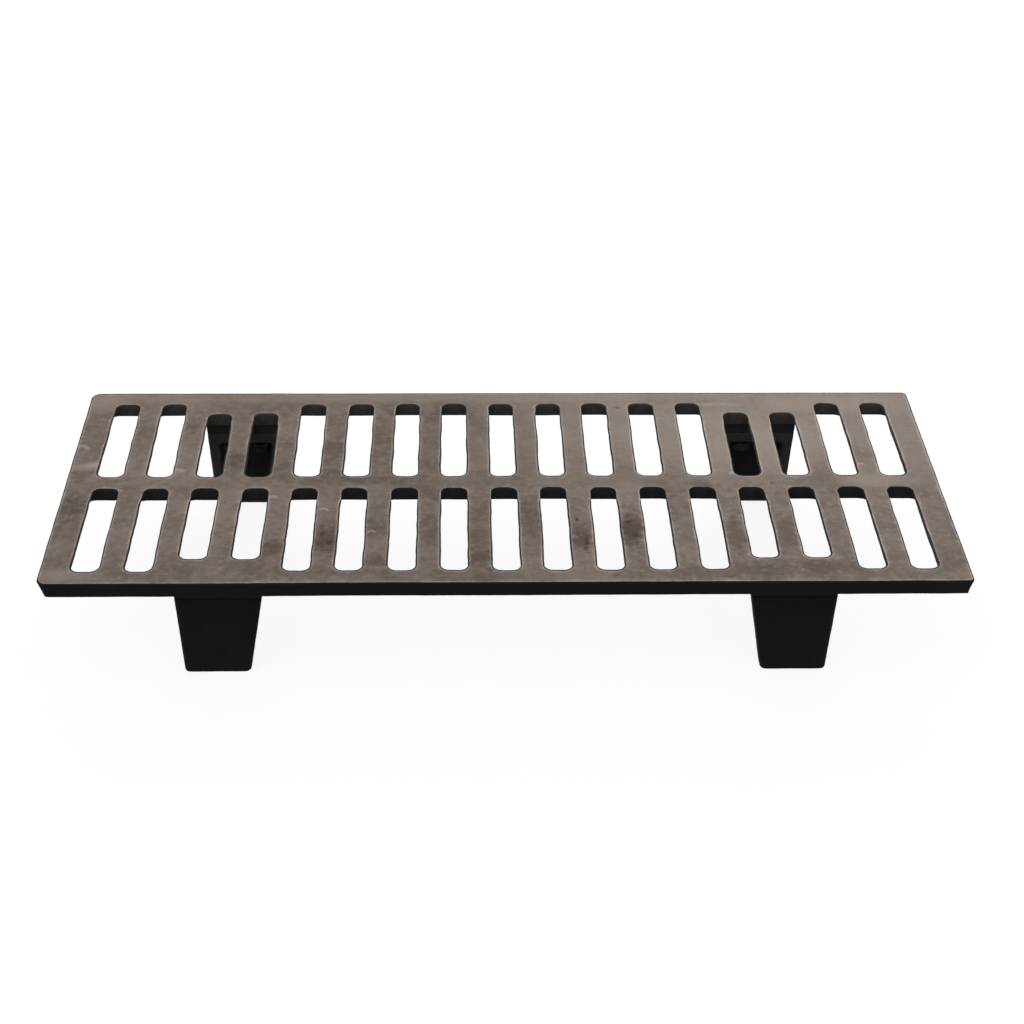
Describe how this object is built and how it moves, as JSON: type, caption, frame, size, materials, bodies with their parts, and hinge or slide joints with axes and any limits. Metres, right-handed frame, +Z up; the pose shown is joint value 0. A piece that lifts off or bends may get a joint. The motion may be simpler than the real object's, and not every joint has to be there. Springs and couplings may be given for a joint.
{
  "type": "log grate",
  "caption": "Flat slotted cast-iron grate on four short tapered legs, which holds burning logs above the ash in a wood stove or fireplace.",
  "frame": {"origin": "on the floor, under the middle of the plate", "axes": "+X along the plate's length to the right, +Y across it to the rear, +Z up out of the plate's top face"},
  "size_m": [0.5588, 0.216, 0.0762],
  "materials": {
    "bare_iron": "bare grey-brown iron, ground flat and stained by heat on top, black foundry coat on its edges and in its slots",
    "blacked_iron": "sand-cast, with a black foundry coat",
    "bolt_steel": "plain steel, darkened with oil"
  },
  "bodies": {
    "root": {"grate_plate": "bare_iron", "leg_front_left": "blacked_iron", "leg_front_right": "blacked_iron", "leg_rear_left": "blacked_iron", "leg_rear_right": "blacked_iron", "bolt_front_left_inner": "bolt_steel", "spring_washer_front_left_inner": "bolt_steel", "bolt_front_left_outer": "bolt_steel", "spring_washer_front_left_outer": "bolt_steel", "bolt_front_right_inner": "bolt_steel", "spring_washer_front_right_inner": "bolt_steel", "bolt_front_right_outer": "bolt_steel", "spring_washer_front_right_outer": "bolt_steel", "bolt_rear_left_inner": "bolt_steel", "spring_washer_rear_left_inner": "bolt_steel", "bolt_rear_left_outer": "bolt_steel", "spring_washer_rear_left_outer": "bolt_steel", "bolt_rear_right_inner": "bolt_steel", "spring_washer_rear_right_inner": "bolt_steel", "bolt_rear_right_outer": "bolt_steel", "spring_washer_rear_right_outer": "bolt_steel"}
  },
  "joints": []
}
